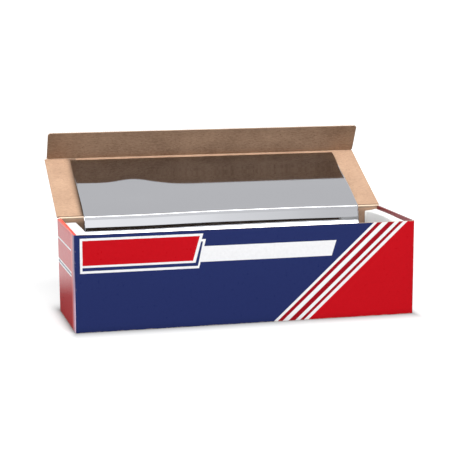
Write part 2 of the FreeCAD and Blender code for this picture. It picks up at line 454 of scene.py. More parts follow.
@dataclass(frozen=True)
class PrintedBoard:
    """Coated and printed outside of the carton board."""

    effects: SharedEffects
    carton: CartonSizes
    inks: PrintColours = PrintColours()
    edge: float = 0.18 * MM
    varnish: float = 0.15
    end_varnish: float = 0.34
    # width and heights of the painted reflection by the left end's front fold
    fold_reflection_width: float = 20.5 * MM
    reflection_low: float = 28.0 * MM
    reflection_high: float = 66.0 * MM
    wall_margin: float = 1.1 * MM
    end_margin: float = 3.3 * MM
    rim_height: float = 0.5 * MM
    rim_reach: float = 2.65 * MM

    def _field(self, finish: Finish, across: Socket, up: Socket, size: FieldSize,
               left_slant: float = 0.0) -> Socket:
        """Mask of one slanted-end field."""
        left, right, bottom, top, slant = size
        return finish.n.group(self.effects.slanted_field, Across=across, Up=up, Left=left,
                              Right=right, Bottom=bottom, Top=top, Left_Slant=left_slant,
                              Right_Slant=slant, Edge=self.edge).outputs["Mask"]

    def _worn_fold(self, finish: Finish, distance: Socket, width: float, amount: float) -> Socket:
        """Mask of cracked ink along a fold, by the distance from it."""
        return finish.n.group(self.effects.fold_wear, Position=finish.position, Distance=distance,
                              Width=width, Amount=amount).outputs["Mask"]

    def _stripes(self, finish: Finish, across: Socket, up: Socket, colour: object) -> Socket:
        """Navy field, stripes and red corner laid over a ground colour."""
        stripes, inks = StripeSizes(), self.inks
        far = self.carton.half_width * 2
        first, last = stripes.edges[0][0], stripes.edges[-1][1]
        lift = (self.carton.height - stripes.level) * stripes.lean
        masks = [(first + lift, far, inks.deep_red), (last + lift, far, inks.red)]
        masks += [(left + lift, right + lift, inks.white) for left, right in stripes.edges]
        for left, right, ink in masks:
            size = (left, right, -far, self.carton.height, stripes.lean)
            colour = finish.n.mix(self._field(finish, across, up, size, stripes.lean), colour, ink)
        return colour

    def _panel_print(self, finish: Finish, across: Socket, up: Socket) -> Socket:
        """Label, banner, stripes and red corner on navy, as on the front, the back and the lid."""
        inks, labels = self.inks, LabelSizes()
        colour: object = inks.navy
        for size, ink in ((labels.banner, inks.white), (labels.shadow, inks.white),
                          (labels.shadow_fill, inks.navy), (labels.frame, inks.white),
                          (labels.red, inks.red)):
            colour = finish.n.mix(self._field(finish, across, up, size), colour, ink)
        return self._stripes(finish, across, up, colour)

    def _coat(self, finish: Finish, colour: Socket, wear: Sequence[Socket],
              varnish: Value) -> None:
        """Ink mottle, varnish and cracked folds over a printed colour."""
        n = finish.n
        mottle = n.noise(finish.position, 320.0, 3.0, 0.6)
        shade = n.remap(mottle, 0.3, 0.7, 0.965, 1.025)
        toned = n.mix(1.0, colour, n.vector(shade, shade, shade), "MULTIPLY")
        worn: Value = 0.0
        for mask in wear:
            worn = n.math("MAXIMUM", worn, mask)
        result = n.mix(worn, toned, self.inks.bare)
        rough = n.math("MULTIPLY_ADD", worn, 0.35, n.remap(mottle, 0.3, 0.7, 0.27, 0.33))
        finish.set(Base_Color=result, Roughness=rough, Specular_IOR_Level=0.1,
                   Coat_Weight=varnish, Coat_Roughness=0.22)
        fine = n.noise(finish.position, 1800.0, 2.0, 0.5)
        wavy = n.noise(finish.position, 24.0, 1.0, 0.5)
        finish.bump(n.math("ADD", n.math("MULTIPLY", fine, 0.03), wavy), 0.2, 0.3 * MM)

    def tray(self) -> bpy.types.Material:
        """Outside of the tray: front and back print, plain base, red ends and rims, a painted
        reflection by the left end's front fold and painted light on the rims.
        """
        finish = Finish("printed_tray_board")
        n, carton, inks = finish.n, self.carton, self.inks
        x, y, z = n.split(finish.position)
        on_front = n.math("LESS_THAN", y, self.wall_margin - carton.half_depth)
        front = self._panel_print(finish, x, z)
        back = self._panel_print(finish, n.math("MULTIPLY", x, -1.0), z)
        on_back = n.math("GREATER_THAN", y, carton.half_depth - self.wall_margin)
        result = n.mix(on_back, inks.navy, back)
        result = n.mix(on_front, result, front)
        side = n.math("GREATER_THAN", n.math("ABSOLUTE", x), carton.half_width - self.end_margin)
        between = n.math("SUBTRACT", 1.0, n.math("ADD", on_front, on_back, clamp=True))
        on_end = n.math("MULTIPLY", side, between)
        result = n.mix(on_end, result, self._end_print(finish, x, y, z))
        to_wall = n.math("SUBTRACT", carton.half_depth, n.math("ABSOLUTE", y))
        to_end = n.math("SUBTRACT", carton.half_width, n.math("ABSOLUTE", x))
        to_rim = n.math("SUBTRACT", carton.height, z)
        nearest = n.math("MINIMUM", to_wall, to_end)
        wear = [self._worn_fold(finish, n.math("ADD", first, second), width, amount)
                for first, second, width, amount in (
                    (to_wall, to_end, 3.0 * MM, 0.85),
                    (n.math("ABSOLUTE", z), nearest, 1.6 * MM, 0.7),
                    (to_rim, to_end, 1.2 * MM, 0.3),
                    (to_rim, to_wall, 0.9 * MM, 0.8))]
        varnish = n.math("MULTIPLY_ADD", on_end, self.end_varnish - self.varnish, self.varnish)
        self._coat(finish, result, wear, varnish)
        return finish.material

    def _end_print(self, finish: Finish, x: Socket, y: Socket, z: Socket) -> Socket:
        """Red end panel with level rules, a painted reflection along the front fold on the left, and
        its rim and lining: painted highlight on the left rim's top, painted shade on the right rim's
        top and on the linings.
        """
        n, inks, carton, rules = finish.n, self.inks, self.carton, RuleSizes()
        far = carton.half_depth * 2
        colour: object = inks.red
        for rule, ink in ((rules.thin, inks.white), (rules.wide, inks.white),
                          (rules.wide_fill, inks.navy)):
            colour = n.mix(self._field(finish, y, z, (-far, far, *rule, 0.0)), colour, ink)
        # painted reflection: a pale, lilac strip along the left end's front fold
        tint = n.mix(n.remap(z, self.reflection_low, self.reflection_high), inks.fold_reflection_low, inks.fold_reflection_high)
        from_fold = n.math("ADD", y, carton.half_depth)
        strip = n.mix(n.remap(from_fold, 0.85 * self.fold_reflection_width, 0.2 * self.fold_reflection_width),
                      inks.fold_reflection_edge, tint)
        on_fold_reflection = n.math("MULTIPLY", n.math("LESS_THAN", x, 0.0),
                         n.remap(from_fold, 1.04 * self.fold_reflection_width, 0.96 * self.fold_reflection_width))
        pale = n.mix(on_fold_reflection, colour, strip)
        inner = n.math("LESS_THAN", n.math("ABSOLUTE", x), carton.half_width - self.rim_reach)
        # painted light on the rims: lit red on the left rim's top, shaded red on the right rim's top
        # and on both linings
        top = n.mix(n.math("GREATER_THAN", x, 0.0), inks.lit_red, inks.shaded_red)
        on_rim = n.math("GREATER_THAN", z, carton.height - self.rim_height)
        return n.mix(n.math("MAXIMUM", on_rim, inner), pale, n.mix(inner, top, inks.shaded_red))

    def lid(self, name: str, start: float, labelled: bool) -> bpy.types.Material:
        """Outside of the lid or its flap, laid out on the piece's own UV map.

        Args:
            name: name of the material.
            start: how far up the print the piece's fold lies.
            labelled: whether the piece carries the label and the banner too.

        Returns:
            The material.
        """
        finish = Finish(name)
        n = finish.n
        across, up, _ = finish.uv("board")
        level = n.math("SUBTRACT", start, up)
        if labelled:
            colour = self._panel_print(finish, across, level)
        else:
            colour = self._stripes(finish, across, level, self.inks.navy)
        edge = n.math("SUBTRACT", self.carton.half_width, n.math("ABSOLUTE", across))
        wear = [self._worn_fold(finish, distance, width, 0.8)
                for distance, width in ((edge, 0.9 * MM), (up, 1.4 * MM))]
        self._coat(finish, colour, wear, self.varnish)
        return finish.material


@dataclass(frozen=True)
class BareBoard:
    """Uncoated side or cut edge of board."""

    name: str
    pale: Colour
    dark: Colour
    fibre: float
    fleck: float
    roughness: float = 0.86

    def _deeper(self, share: float) -> Colour:
        """The board's dark colour, taken down to a share of its light."""
        return tuple(channel * share for channel in self.dark)

    def _shaded(self, finish: Finish, colour: Socket) -> Socket:
        """Shades that one place of the carton adds: none on plain board."""
        return colour

    def build(self, effects: SharedEffects) -> bpy.types.Material:
        """Material with fibres, flecks and a soft tooth."""
        finish = Finish(self.name)
        n = finish.n
        fibre = n.group(effects.board_fibre, Position=finish.position, Fibre=self.fibre,
                        Fleck=self.fleck)
        colour = n.mix(fibre.outputs["Shade"], self.dark, self.pale)
        colour = n.mix(fibre.outputs["Flecks"], colour, self._deeper(0.45))
        finish.set(Base_Color=self._shaded(finish, colour), Roughness=self.roughness,
                   Specular_IOR_Level=0.25)
        finish.bump(fibre.outputs["Height"], 0.35, 0.12 * MM)
        return finish.material


@dataclass(frozen=True)
class TrayInside(BareBoard):
    """Inside of the tray with painted shade: darker with depth, darkest before the roll and beyond
    its right end.
    """

    shade_below: float = 98.5 * MM
    shade_start: float = -2.0 * MM
    shade_full: float = 5.8 * MM
    beyond: float = 177.0 * MM

    def _shaded(self, finish: Finish, colour: Socket) -> Socket:
        """Painted shade of the walls, by place in the tray."""
        n = finish.n
        x, y, z = n.split(finish.position)
        # painted shade: the walls darken with depth below the rim, more towards the left
        depth = n.remap(n.math("SUBTRACT", self.shade_below, z), self.shade_start, self.shade_full)
        behind = n.math("MULTIPLY", depth, n.remap(x, -160.0 * MM, 150.0 * MM, 0.95, 0.55))
        colour = n.mix(behind, colour, self._deeper(0.30))
        # painted shade: darkest on the front wall's inside and on the right end's inner face
        before = n.math("MULTIPLY", n.math("LESS_THAN", y, 0.0), n.remap(depth, 0.0, 0.3))
        beside = n.math("GREATER_THAN", x, self.beyond)
        return n.mix(n.math("MAXIMUM", before, beside), colour, self._deeper(0.22))


@dataclass(frozen=True)
class LidInside(BareBoard):
    """Inside of the lid: painted crease shade by its fold, and a painted shadow of the film beside
    its left edge.
    """

    film_shadow_to: float = -151.6 * MM
    film_shadow_width: float = 8.0 * MM
    crease_shade_at: float = 1.7 * MM

    def _shaded(self, finish: Finish, colour: Socket) -> Socket:
        """Painted crease shade and painted film shadow, on the panel's own UV map."""
        n = finish.n
        across, up, _ = finish.uv("board")
        # painted shade along the crease by the fold
        line = n.remap(n.math("ABSOLUTE", n.math("SUBTRACT", up, self.crease_shade_at)),
                       0.9 * MM, 0.5 * MM)
        colour = n.mix(n.math("MULTIPLY", line, 0.8), colour, self._deeper(0.3))
        # painted shadow of the film's left edge on the lid
        beside = n.math("SUBTRACT", self.film_shadow_to, across)
        soft = n.math("MULTIPLY",
                      n.math("POWER", n.remap(beside, self.film_shadow_width, 1.0 * MM), 1.8),
                      n.remap(up, 100.0 * MM, 10.0 * MM, 0.6, 0.95))
        inside = n.math("GREATER_THAN", beside, -6.0 * MM)
        return n.mix(n.math("MULTIPLY", soft, inside), colour, self._deeper(0.16))


@dataclass(frozen=True)
class ScoredBoard(BareBoard):
    """Scored fold: pale, partly stretched fibre and partly a painted highlight; painted shade where
    it dips behind the film.
    """

    shade_to: float = 0.5
    blur: float = 0.04

    def _shaded(self, finish: Finish, colour: Socket) -> Socket:
        """Painted shade on the strip's bottom half, on its own UV map."""
        _, up, _ = finish.uv("board")
        # painted shade below the strip's middle
        lower = finish.n.remap(up, self.shade_to + self.blur, self.shade_to - self.blur)
        return finish.n.mix(lower, colour, self._deeper(0.35))


@dataclass(frozen=True)
class RolledFoil:
    """Bright rolled aluminium with fine lines along the web."""

    name: str
    tint: Colour = srgb(178, 179, 183)
    low_roughness: float = 0.03
    high_roughness: float = 0.07
    bump: float = 0.05

    def build(self, effects: SharedEffects) -> bpy.types.Material:
        """Material on the web's own UV map, across and along."""
        finish = Finish(self.name)
        n = finish.n
        across, along, _ = finish.uv("web")
        streaks = n.group(effects.web_streaks, Across=across, Along=along)
        rough = n.remap(streaks.outputs["Streak"], 0.3, 0.7, self.low_roughness,
                        self.high_roughness)
        shade = n.remap(streaks.outputs["Streak"], 0.3, 0.7, 0.94, 1.0)
        dark = tuple(channel * 0.86 for channel in self.tint)
        finish.set(Base_Color=n.mix(shade, dark, self.tint), Roughness=rough, Metallic=1.0)
        finish.bump(streaks.outputs["Height"], self.bump, 0.05 * MM)
        return finish.material


def wound_edge_finish() -> bpy.types.Material:
    """Cut edges of the turns: dull metal in fine rings round the core's axis."""
    finish = Finish("wound_foil_edges")
    n = finish.n
    _, y, z = n.split(finish.position)
    centre = read_roll().centre
    from_axis = n.length(n.math("SUBTRACT", y, centre.y), n.math("SUBTRACT", z, centre.z))
    rings = n.noise(n.vector(from_axis, 0.0, 0.0), 2400.0, 4.0, 0.7)
    bands = n.noise(n.vector(from_axis, 0.0, 0.3), 260.0, 1.0, 0.5)
    tone = n.math("ADD", n.math("MULTIPLY", rings, 0.7), n.math("MULTIPLY", bands, 0.3))
    finish.set(Base_Color=n.mix(n.remap(tone, 0.3, 0.7), srgb(150, 151, 154), srgb(206, 207, 210)),
               Roughness=n.remap(tone, 0.3, 0.7, 0.5, 0.32), Metallic=1.0)
    finish.bump(rings, 0.5, 0.1 * MM)
    return finish.material


def core_paper_finish(effects: SharedEffects) -> bpy.types.Material:
    """Core tube of spiral-wound grey-brown paper with a dark ply seam."""
    finish = Finish("core_paper")
    n = finish.n
    x, y, z = n.split(finish.position)
    centre = read_roll().centre
    angle = n.math("ARCTAN2", n.math("SUBTRACT", z, centre.z), n.math("SUBTRACT", y, centre.y))
    turn = n.math("MULTIPLY_ADD", angle, 1 / math.tau, n.math("MULTIPLY", x, 1 / 0.055))
    seam = n.math("LESS_THAN", n.math("FRACT", turn), 0.012)
    fibre = n.group(effects.board_fibre, Position=finish.position, Fibre=1.6, Fleck=0.5)
    colour = n.mix(fibre.outputs["Shade"], srgb(132, 110, 86), srgb(178, 155, 126))
    finish.set(Base_Color=n.mix(seam, colour, srgb(84, 68, 52)), Roughness=0.88)
    finish.bump(fibre.outputs["Height"], 0.3, 0.1 * MM)
    return finish.material


def cutter_steel_finish() -> bpy.types.Material:
    """Thin cold-rolled steel with lengthwise lines."""
    finish = Finish("cutter_steel")
    n = finish.n
    x, y, z = n.split(finish.position)
    lines = n.noise(n.vector(n.math("MULTIPLY", x, 0.02), y, z), 5200.0, 3.0, 0.6)
    finish.set(Base_Color=n.mix(lines, srgb(176, 178, 181), srgb(222, 223, 225)),
               Roughness=n.remap(lines, 0.3, 0.7, 0.22, 0.4), Metallic=1.0)
    finish.bump(lines, 0.2, 0.03 * MM)
    return finish.material


class Finishes:
    """Every finish of the object, built once and shared by its pieces."""

    def __init__(self, carton: CartonSizes) -> None:
        """Build the shader groups and the materials."""
        effects = SharedEffects()
        printed = PrintedBoard(effects, carton)
        self.tray_print = printed.tray()
        self.lid_print = printed.lid("printed_lid_board", carton.lid_length, True)
        self.flap_print = printed.lid("printed_flap_board", carton.height, False)
        # painted shade: the flap's inside is a darker copy of the lid's kraft
        self.shaded_flap_kraft = BareBoard("flap_kraft_board", srgb(173, 141, 115), srgb(138, 109, 87), 4.2,
                                    1.0).build(effects)
        self.lid_kraft = LidInside("lid_kraft_board_painted_shade", srgb(196, 162, 135), srgb(164, 132, 109), 3.0,
                                   0.8).build(effects)
        self.inner_kraft = TrayInside(
            "inner_kraft_board_painted_shade", srgb(190, 156, 129), srgb(160, 128, 105), 1.5, 0.55,
            shade_below=carton.height - 0.5 * MM).build(effects)
        self.cut_edge = BareBoard("cut_board_edge", srgb(222, 200, 178), srgb(190, 160, 134), 1.8,
                                  0.2).build(effects)
        # pale score colour: partly stretched fibre, partly a painted highlight along the fold
        self.score = ScoredBoard("scored_board_painted_light", srgb(246, 224, 200), srgb(228, 198, 170), 1.4,
                                 0.2).build(effects)
        self.white_board = BareBoard("white_board", srgb(244, 244, 242), srgb(222, 223, 222), 1.0,
                                     0.12, 0.72).build(effects)
        self.white_cut = BareBoard("white_board_edge", srgb(236, 234, 228), srgb(206, 202, 194), 1.6,
                                   0.2).build(effects)
        self.foil = RolledFoil("rolled_foil").build(effects)
        self.wound_edges = wound_edge_finish()
        self.core = core_paper_finish(effects)
        self.cutter = cutter_steel_finish()

    def board(self, outside: bpy.types.Material,
              inside: bpy.types.Material) -> list[bpy.types.Material]:
        """Slots of a piece of carton board, in the order of BoardSide."""
        return [outside, inside, self.cut_edge]


# Mesh building


def link_object(name: str, data: bpy.types.ID) -> bpy.types.Object:
    """Object of the data, linked to the scene, at the origin."""
    made = bpy.data.objects.new(name, data)
    bpy.context.scene.collection.objects.link(made)
    return made


def build_object(name: str, verts: np.ndarray, faces: Sequence[Sequence[int]],
                 materials: Sequence[bpy.types.Material],
                 uv: Optional[tuple[str, np.ndarray]] = None) -> bpy.types.Object:
    """Make a smooth-shaded mesh object at the origin.

    Args:
        name: name of the piece.
        verts: one row of three metres a vertex.
        faces: vertex numbers of each face.
        materials: its material slots.
        uv: name of a UV map and its two values a vertex.

    Returns:
        The linked object.
    """
    mesh = bpy.data.meshes.new(name)
    mesh.from_pydata([tuple(v) for v in verts], [], [tuple(f) for f in faces])
    for material in materials:
        mesh.materials.append(material)
    mesh.shade_smooth()
    if uv is not None:
        layer = mesh.uv_layers.new(name=uv[0])
        corners = np.array([loop.vertex_index for loop in mesh.loops])
        layer.data.foreach_set("uv", uv[1][corners].astype(np.float32).ravel())
    mesh.update()
    return link_object(name, mesh)


def grid_faces(rows: int, columns: int, first: int = 0, closed: bool = False) -> list[tuple]:
    """Quads of a grid of vertices in rows.

    Args:
        rows: rows of vertices.
        columns: vertices in a row.
        first: number of the grid's first vertex.
        closed: whether the last column joins the first.

    Returns:
        The faces, facing up where rows go along Y and columns along X.
    """
    faces = []
    for row in range(rows - 1):
        for column in range(columns if closed else columns - 1):
            after = (column + 1) % columns
            a, b = first + row * columns + column, first + row * columns + after
            faces.append((a, b, b + columns, a + columns))
    return faces


def clamp(value: float) -> float:
    """The value, kept between 0 and 1."""
    return min(max(value, 0.0), 1.0)


def stray_left(carton: CartonSizes, x: float, share: float) -> float:
    """How far the loose left edge of the board stands out of square at X: negative, to the left."""
    near = clamp((-x / carton.half_width - 0.94) / 0.06)
    return -carton.loose_edge * near * clamp(share)


def smooth_line(points: np.ndarray, steps: int) -> np.ndarray:
    """Centripetal curve through points.

    Args:
        points: one row a point.
        steps: steps in each span between two points.

    Returns:
        One row a point of the curve, ends included.
    """
    ends = np.vstack([2 * points[0] - points[1], points, 2 * points[-1] - points[-2]])
    result = []
    for i in range(1, len(ends) - 2):
        p = ends[i - 1:i + 3]
        knots = np.concatenate([[0], np.cumsum(np.sqrt(np.linalg.norm(np.diff(p, axis=0),
                                                                      axis=1)))])
        for t in np.linspace(knots[1], knots[2], steps, endpoint=False):
            level = [p[k] for k in range(4)]
            for depth in (1, 2):
                level = [((knots[k + depth] - t) * level[k] + (t - knots[k]) * level[k + 1])
                         / (knots[k + depth] - knots[k]) for k in range(len(level) - 1)]
            result.append(((knots[2] - t) * level[0] + (t - knots[1]) * level[1])
                          / (knots[2] - knots[1]))
    result.append(points[-1])
    return np.array(result)


def run_along(line: np.ndarray) -> np.ndarray:
    """Distance of each point of a line from its first, measured along it."""
    return np.concatenate([[0], np.cumsum(np.linalg.norm(np.diff(line, axis=0), axis=1))])


def add_fold(piece: bpy.types.Object, width: float) -> None:
    """Round the sharp folds of a sheet."""
    bevel = piece.modifiers.new("folds", "BEVEL")
    bevel.width, bevel.segments = width, 3
    bevel.limit_method, bevel.angle_limit = "ANGLE", math.radians(40)


def split_edges(piece: bpy.types.Object, angle: float) -> None:
    """Shade folds that are sharper than an angle, in degrees, as edges."""
    split = piece.modifiers.new("edges", "EDGE_SPLIT")
    split.split_angle = math.radians(angle)


def thicken(piece: bpy.types.Object, thickness: float, offset: float = 0.0) -> bpy.types.Modifier:
    """Give a sheet its thickness: half to each side, or all inwards with an offset of -1."""
    solid = piece.modifiers.new("thickness", "SOLIDIFY")
    solid.thickness, solid.offset = thickness, offset
    return solid


def make_board(piece: bpy.types.Object, thickness: float) -> None:
    """Thicken a sheet inwards, with its inside and its cut edges in slots of their own."""
    solid = thicken(piece, thickness, -1.0)
    solid.use_even_offset = True
    solid.material_offset = BoardSide.INSIDE.value
    solid.material_offset_rim = BoardSide.CUT.value
    split_edges(piece, 50)


# Carton


class Tray:
    """Tray of the carton, folded from one sheet, with rolled-over end rims."""

    STEP_X = 60
    STEP_Y = 16
    STEP_Z = 16
    ARC = 5
    FOLD = 0.6 * MM
    CORNER_FLAP = 45.0 * MM
    FLAP_SLACK = 0.2 * MM

    def __init__(self, carton: CartonSizes, finishes: Finishes) -> None:
        """Keep the sizes and the finishes."""
        self.carton = carton
        self.finishes = finishes

    def _ring(self) -> list[tuple[float, float]]:
        """Outline of the four walls seen from above, anticlockwise from the front left."""
        c, radius = self.carton, self.carton.corner_radius
        near_x, near_y = c.half_width - radius, c.half_depth - radius
        corners = ((near_x, -near_y, -90.0), (near_x, near_y, 0.0),
                   (-near_x, near_y, 90.0), (-near_x, -near_y, 180.0))
        points: list[tuple[float, float]] = []
        last = (-near_x, -c.half_depth)
        for number, (x, y, start) in enumerate(corners):
            arc = [(x + radius * math.cos(math.radians(start + 90 * k / self.ARC)),
                    y + radius * math.sin(math.radians(start + 90 * k / self.ARC)))
                   for k in range(self.ARC + 1)]
            steps = self.STEP_X if number % 2 == 0 else self.STEP_Y
            points += [(last[0] + (arc[0][0] - last[0]) * k / steps,
                        last[1] + (arc[0][1] - last[1]) * k / steps) for k in range(steps)]
            points += arc[:-1]
            last = arc[-1]
        return points

    def _bow(self, x: float, y: float, z: float) -> Vector:
        """Small outward swell of the walls between their folds."""
        c = self.carton
        rise = math.sin(math.pi * clamp(z / c.height)) * 0.8 + 0.2 * z / c.height
        swell = 0.35 * MM * math.cos(math.pi * x / (2 * c.half_width)) * rise
        share = y / c.half_depth if abs(y) > c.half_depth - c.corner_radius else 0.0
        ripple = 0.12 * MM * math.sin(x * 41.0 + z * 13.0) * rise
        inner = abs(x) < c.half_width - c.rim_width / 2 and abs(y) < c.half_depth - c.corner_radius
        loose = (0.35 + 0.65 * z / c.height) * (y / c.half_depth + 0.9) / 1.9
        return Vector((0 if inner else stray_left(c, x, loose), (swell + ripple) * share, 0))

    def build(self) -> bpy.types.Object:
        """Mesh of the tray's sheet, thickened inwards."""
        c = self.carton
        ring = self._ring()
        count = len(ring)
        verts = [Vector((x, y, c.height * row / self.STEP_Z)) for row in range(self.STEP_Z + 1)
                 for x, y in ring]
        faces = grid_faces(self.STEP_Z + 1, count, closed=True)
        faces.append(tuple(reversed(range(count))))
        top = self.STEP_Z * count
        reach = c.half_depth - c.board - c.inner_gap / 2
        for end in End:
            rim = [i for i, (x, y) in enumerate(ring)
                   if x * end.value > c.half_width - c.corner_radius and abs(y) <= reach]
            rim.sort(key=lambda i: ring[i][1] * end.value)
            before = [top + i for i in rim]
            inner_x = end.value * (c.half_width - c.rim_width)
            levels = [c.height - (c.height - c.board - c.inner_gap) * row / self.STEP_Z
                      for row in range(self.STEP_Z + 1)]
            for level in levels:
                first = len(verts)
                verts += [Vector((inner_x, ring[i][1], level)) for i in rim]
                row = list(range(first, first + len(rim)))
                faces += [(before[k], before[k + 1], row[k + 1], row[k])
                          for k in range(len(rim) - 1)]
                before = row
        placed = np.array([v + self._bow(*v) for v in verts])
        tray = build_object("tray_board", placed, faces, self.finishes.board(
            self.finishes.tray_print, self.finishes.inner_kraft))
        add_fold(tray, self.FOLD)
        make_board(tray, c.board)
        self._add_corner_flaps(tray)
        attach(tray, "carton")
        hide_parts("tray")
        return tray

    def _add_corner_flaps(self, tray: bpy.types.Object) -> None:
        """Glue flaps inside the doubled ends, as one more piece that rides with the tray."""
        c = self.carton
        low, high = c.board + c.inner_gap, c.height - c.board - c.inner_gap
        outer, glued = c.half_width - c.board - self.FLAP_SLACK, c.half_depth - c.board
        verts, faces = [], []
        for end in End:
            for side in (-1, 1):
                xs = sorted((end.value * outer, end.value * (outer - c.board)))
                ys = sorted((side * glued, side * (glued - self.CORNER_FLAP)))
                first = len(verts)
                verts += [(x, y, z) for z in (low, high) for y in ys for x in xs]
                faces += [tuple(first + k for k in face) for face in (
                    (0, 2, 3, 1), (4, 5, 7, 6), (0, 1, 5, 4), (2, 6, 7, 3), (0, 4, 6, 2),
                    (1, 3, 7, 5))]
        flaps = build_object("glued_corner_flaps", np.array(verts), faces,
                             [self.finishes.inner_kraft])
        flaps.data.shade_flat()
        flaps.parent = tray


def panel_object(name: str, place: Callable[[float, float], Vector], xs: np.ndarray,
                 vs: np.ndarray, half: Callable[[float], float],
                 materials: Sequence[bpy.types.Material]) -> bpy.types.Object:
    """Flat panel of board as a grid with its own UV map, across and up.

    Args:
        name: name of the piece.
        place: point of the panel's outer face for an X and a distance from its fold.
        xs: shares of the half width, from -1 to 1.
        vs: distances from the fold.
        half: half width of the panel at a distance.
        materials: its material slots.

    Returns:
        The linked object.
    """
    points, flat = [], []
    for v in vs:
        for share in xs:
            x = share * half(v)
            points.append(place(x, v))
            flat.append((x, v))
    faces = [tuple(reversed(face)) for face in grid_faces(len(vs), len(xs))]
    return build_object(name, np.array(points), faces, materials, ("board", np.array(flat)))


class Lid:
    """Lid panel, its front flap and the two scored folds."""

    COLUMNS = 61
    STRIP_ZONE = 11.0 * MM

    def __init__(self, carton: CartonSizes, lid: LidFrame, finishes: Finishes) -> None:
        """Keep the sizes, the lid's directions and the finishes."""
        self.carton = carton
        self.lid = lid
        self.finishes = finishes

    def _shares(self) -> np.ndarray:
        """Shares of the half width across a panel, closer together at its edges."""
        return np.unique(np.concatenate([np.linspace(-1, 1, self.COLUMNS), (-0.985, 0.985)]))

    def _lid_bow(self, x: float, u: float) -> float:
        """Warp of the panel out of its plane: a slight hollow between the folds."""
        c = self.carton
        across = math.cos(math.pi * x / (2 * c.half_width))
        length = math.sin(math.pi * u / c.lid_length)
        return -0.45 * MM * length * (0.5 + 0.5 * across) + 0.1 * MM * math.sin(x * 33) * length

    def build_panel(self) -> bpy.types.Object:
        """Lid panel, printed side out."""
        c = self.carton
        panel = panel_object(
            "lid_board", lambda x, u: self.lid.place(
                x + stray_left(c, x, 1.0 - 0.2 * u / c.lid_length), u,
                self._lid_bow(x, u) - c.board),
            self._shares(), np.linspace(0.9 * MM, c.lid_length, 25),
            lambda u: c.half_width,
            self.finishes.board(self.finishes.lid_print, self.finishes.lid_kraft))
        make_board(panel, c.board)
        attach(panel, "lid")
        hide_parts("lid_panel")
        return panel

    def _flap_half(self, height: float) -> float:
        """Half width of the flap, less its cut corners."""
        c = self.carton
        free = max(0.0, height - (c.flap_height - c.flap_corner_cut))
        fold = max(0.0, c.fold_gap + c.fold_relief - height)
        return c.half_width - free - fold

    def build_flap(self) -> bpy.types.Object:
        """Front flap, square to the lid, with its corners cut."""
        c = self.carton
        heights = np.unique(np.concatenate([
            np.linspace(c.fold_gap, c.flap_height, 10),
            [c.fold_gap + c.fold_relief, c.flap_height - c.flap_corner_cut]]))

        def place(x: float, n: float) -> Vector:
            """Point of the flap's printed face, hollow below the strip that keeps its edge flat."""
            free = c.flap_height - self.STRIP_ZONE
            hollow = 0.35 * MM * math.sin(math.pi * min(n / free, 1.0))
            hollow *= 1 + 0.5 * math.sin(x * 17 + 0.6)
            inset = 0.9 * MM if x < -0.98 * self._flap_half(n) else 0.0
            return self.lid.place(x + inset, c.lid_length + c.board - hollow, n)

        flap = panel_object("flap_board", place, self._shares(), heights,
                            self._flap_half, self.finishes.board(self.finishes.flap_print,
                                                                 self.finishes.shaded_flap_kraft))
        make_board(flap, c.board)
        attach(flap, "flap")
        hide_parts("lid_flap")
        return flap

    def _score(self, name: str, path: Sequence[Vector], start: Vector,
               end: Vector, thickness: float) -> bpy.types.Object:
        """Scored fold: a narrow strip along a bend."""
        half = self.carton.half_width - self.carton.fold_relief / 2
        xs = np.linspace(-half, half, self.COLUMNS)
        line = smooth_line(np.array(path), 4)
        points = [point + np.array((x, 0, 0)) for point in line for x in xs]
        run = run_along(line)
        flat = [(x, along / run[-1]) for along in run for x in xs]
        strip = build_object(name, np.array(points), grid_faces(len(line), len(xs)),
                             [self.finishes.score], ("board", np.array(flat)))
        thicken(strip, thickness)
        tuple(start)
        tuple(end)
        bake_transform(strip)
        return strip

    def build_scores(self) -> list[bpy.types.Object]:
        """The folds between tray and lid, and between lid and flap."""
        c, lid = self.carton, self.lid
        wall, rim = c.half_depth - c.board / 2, c.height
        back = [Vector((0, wall + dy * MM, rim + dz * MM)) for dy, dz in (
            (0.0, -2.4), (-0.1, -1.7), (-0.32, -1.05), (-0.2, -0.4), (0.1, 0.15), (0.7, 0.45))]
        back.append(lid.place(0, 1.9 * MM, -0.6 * MM))
        front = [lid.place(0, c.lid_length + du * MM, dn * MM) for du, dn in (
            (-1.6, -0.4), (-0.6, -0.42), (0.12, -0.3), (0.42, 0.5), (0.4, 1.6))]
        return [
            self._score("lid_score", back, Vector((0, wall, rim - 0.1 * MM)),
                        lid.place(0, 0.8 * MM, -c.board / 2), 0.5 * MM),
            self._score("flap_score", front,
                        lid.place(0, c.lid_length - 0.1 * MM, -c.board / 2),
                        lid.place(0, c.lid_length + c.board / 2, 0.5 * MM), 0.7 * MM)]


